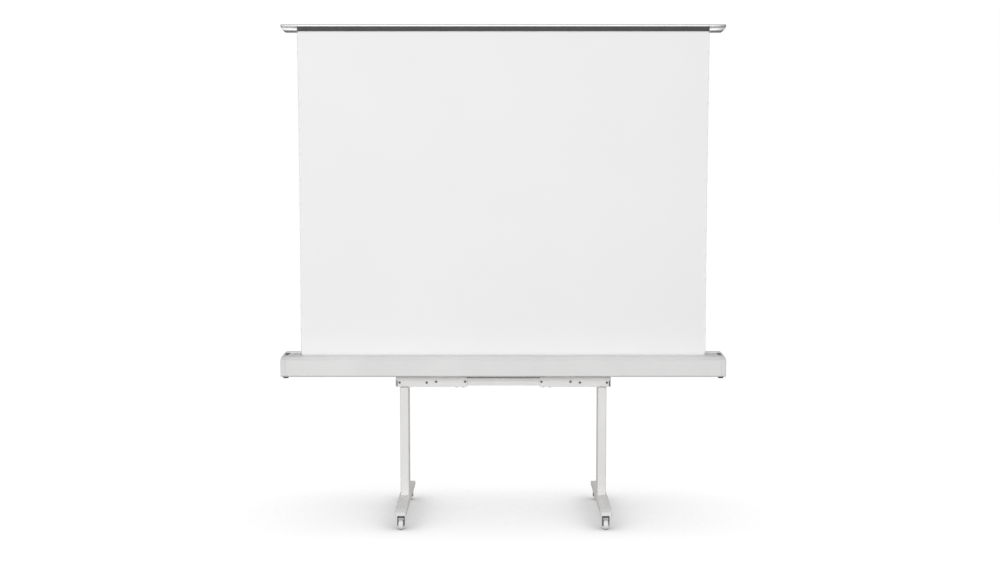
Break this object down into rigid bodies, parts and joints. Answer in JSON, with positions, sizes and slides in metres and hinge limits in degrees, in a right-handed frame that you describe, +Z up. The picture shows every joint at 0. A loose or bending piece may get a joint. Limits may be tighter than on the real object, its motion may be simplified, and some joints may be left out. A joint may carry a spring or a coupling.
{
  "type": "rolling floor-rising screen",
  "caption": "White tensioned screen that rises from a long housing on folding arms, carried by a low rolling stand with feet on swivel casters.",
  "frame": {"origin": "on the floor, below the middle of the stand", "axes": "+Z up, -Y towards the viewer of the screen, +X to that viewer's right"},
  "size_m": [2.3, 0.644, 2.546],
  "materials": {
    "white_paint": "satin powder coat",
    "cap_plastic": "fine moulded grain",
    "rubber": "matt",
    "black_plastic": "fine moulded grain",
    "bolt_steel": "blackened",
    "aluminium": "anodised, fine drawn lines",
    "steel": "zinc plated",
    "screen_fabric": "matt coated screen cloth",
    "wheel_plastic": "matt nylon"
  },
  "bodies": {
    "housing": {"housing_front_shell": "white_paint", "housing_rear_shell": "white_paint", "end_cap_left": "cap_plastic", "end_cap_right": "cap_plastic", "housing_foot_front_left": "rubber", "housing_foot_front_right": "rubber", "housing_foot_rear_left": "rubber", "housing_foot_rear_right": "rubber", "power_inlet": "black_plastic", "control_box": "black_plastic", "roller_bracket_left": "steel", "roller_bracket_right": "steel", "roller_motor": "steel", "arm_base_left": "steel", "arm_base_right": "steel", "crossbar_rail": "white_paint", "mount_plate_left": "steel", "mount_plate_right": "steel", "screen_fabric": "screen_fabric", "tension_cord_left": "screen_fabric", "tension_cord_right": "screen_fabric"},
    "roller": {"roller_tube": "aluminium", "roller_idle_end": "black_plastic"},
    "power_rocker": {"power_rocker": "black_plastic"},
    "top_bar": {"top_bar": "aluminium", "top_bar_strip": "black_plastic", "top_bar_end_left": "aluminium", "top_bar_end_right": "aluminium", "top_pivot_left": "steel", "top_pivot_right": "steel"},
    "lower_arm_left": {"lower_arm_left": "aluminium", "elbow_spring_left": "steel"},
    "upper_arm_left": {"upper_arm_left": "aluminium"},
    "leg_left": {"crossbar_sleeve_left": "white_paint", "column_left": "white_paint", "foot_left": "white_paint", "crossbar_bolt_left_1": "bolt_steel", "crossbar_bolt_left_2": "bolt_steel", "crossbar_bolt_left_3": "bolt_steel", "crossbar_bolt_left_4": "bolt_steel"},
    "caster_fork_front_left": {"caster_fork_front_left": "black_plastic"},
    "caster_wheel_front_left": {"caster_wheel_front_left": "wheel_plastic"},
    "caster_fork_rear_left": {"caster_fork_rear_left": "black_plastic"},
    "caster_wheel_rear_left": {"caster_wheel_rear_left": "wheel_plastic"},
    "lower_arm_right": {"lower_arm_right": "aluminium", "elbow_spring_right": "steel"},
    "upper_arm_right": {"upper_arm_right": "aluminium"},
    "leg_right": {"crossbar_sleeve_right": "white_paint", "column_right": "white_paint", "foot_right": "white_paint", "crossbar_bolt_right_1": "bolt_steel", "crossbar_bolt_right_2": "bolt_steel", "crossbar_bolt_right_3": "bolt_steel", "crossbar_bolt_right_4": "bolt_steel"},
    "caster_fork_front_right": {"caster_fork_front_right": "black_plastic"},
    "caster_wheel_front_right": {"caster_wheel_front_right": "wheel_plastic"},
    "caster_fork_rear_right": {"caster_fork_rear_right": "black_plastic"},
    "caster_wheel_rear_right": {"caster_wheel_rear_right": "wheel_plastic"}
  },
  "joints": [
    {"name": "screen_lift", "type": "hinge", "parent": "housing", "child": "lower_arm_left", "pos_m": [-0.13, 0.019, 0.774], "axis": [0, -1, 0], "range_deg": [0, 63.1], "deforming": ["screen_fabric", "tension_cord_left", "tension_cord_right"]},
    {"name": "elbow_left", "type": "hinge", "parent": "lower_arm_left", "child": "upper_arm_left", "pos_m": [-0.53573, 0.01, 1.633], "axis": [0, -1, 0], "range_deg": [-126.2, 0]},
    {"name": "bar_pivot_left", "type": "hinge", "parent": "upper_arm_left", "child": "top_bar", "pos_m": [-0.13, 0.001, 2.492], "axis": [0, -1, 0], "range_deg": [0, 63.1]},
    {"name": "base_pivot_right", "type": "hinge", "parent": "housing", "child": "lower_arm_right", "pos_m": [0.13, 0.019, 0.774], "axis": [0, -1, 0], "range_deg": [-63.1, 0]},
    {"name": "elbow_right", "type": "hinge", "parent": "lower_arm_right", "child": "upper_arm_right", "pos_m": [0.53573, 0.01, 1.633], "axis": [0, -1, 0], "range_deg": [0, 126.2]},
    {"name": "roller_spin", "type": "hinge", "parent": "housing", "child": "roller", "pos_m": [0, -0.0417, 0.791], "axis": [-1, 0, 0], "range_deg": [0, 3531.9]},
    {"name": "power_rocker_tilt", "type": "hinge", "parent": "housing", "child": "power_rocker", "pos_m": [-0.925, 0.087, 0.796], "axis": [1, 0, 0], "range_deg": [0, 16]},
    {"name": "crossbar_slide_left", "type": "slide", "parent": "housing", "child": "leg_left", "axis": [-1, 0, 0], "range_m": [-0.05, 0.1]},
    {"name": "caster_swivel_front_left", "type": "hinge", "parent": "leg_left", "child": "caster_fork_front_left", "pos_m": [-0.515, -0.274, 0.076], "axis": [0, 0, 1], "continuous": true},
    {"name": "caster_spin_front_left", "type": "hinge", "parent": "caster_fork_front_left", "child": "caster_wheel_front_left", "pos_m": [-0.515, -0.286, 0.025], "axis": [1, 0, 0], "continuous": true},
    {"name": "caster_swivel_rear_left", "type": "hinge", "parent": "leg_left", "child": "caster_fork_rear_left", "pos_m": [-0.515, 0.274, 0.076], "axis": [0, 0, 1], "continuous": true},
    {"name": "caster_spin_rear_left", "type": "hinge", "parent": "caster_fork_rear_left", "child": "caster_wheel_rear_left", "pos_m": [-0.515, 0.286, 0.025], "axis": [1, 0, 0], "continuous": true},
    {"name": "crossbar_slide_right", "type": "slide", "parent": "housing", "child": "leg_right", "axis": [1, 0, 0], "range_m": [-0.05, 0.1]},
    {"name": "caster_swivel_front_right", "type": "hinge", "parent": "leg_right", "child": "caster_fork_front_right", "pos_m": [0.515, -0.274, 0.076], "axis": [0, 0, 1], "continuous": true},
    {"name": "caster_spin_front_right", "type": "hinge", "parent": "caster_fork_front_right", "child": "caster_wheel_front_right", "pos_m": [0.515, -0.286, 0.025], "axis": [1, 0, 0], "continuous": true},
    {"name": "caster_swivel_rear_right", "type": "hinge", "parent": "leg_right", "child": "caster_fork_rear_right", "pos_m": [0.515, 0.274, 0.076], "axis": [0, 0, 1], "continuous": true},
    {"name": "caster_spin_rear_right", "type": "hinge", "parent": "caster_fork_rear_right", "child": "caster_wheel_rear_right", "pos_m": [0.515, 0.286, 0.025], "axis": [1, 0, 0], "continuous": true}
  ],
  "couplings": [
    {"joint": "elbow_left", "follows": "screen_lift", "ratio": -2},
    {"joint": "bar_pivot_left", "follows": "screen_lift", "ratio": 1},
    {"joint": "base_pivot_right", "follows": "screen_lift", "ratio": -1},
    {"joint": "elbow_right", "follows": "screen_lift", "ratio": 2},
    {"joint": "roller_spin", "follows": "screen_lift", "ratio": 55.973}
  ]
}
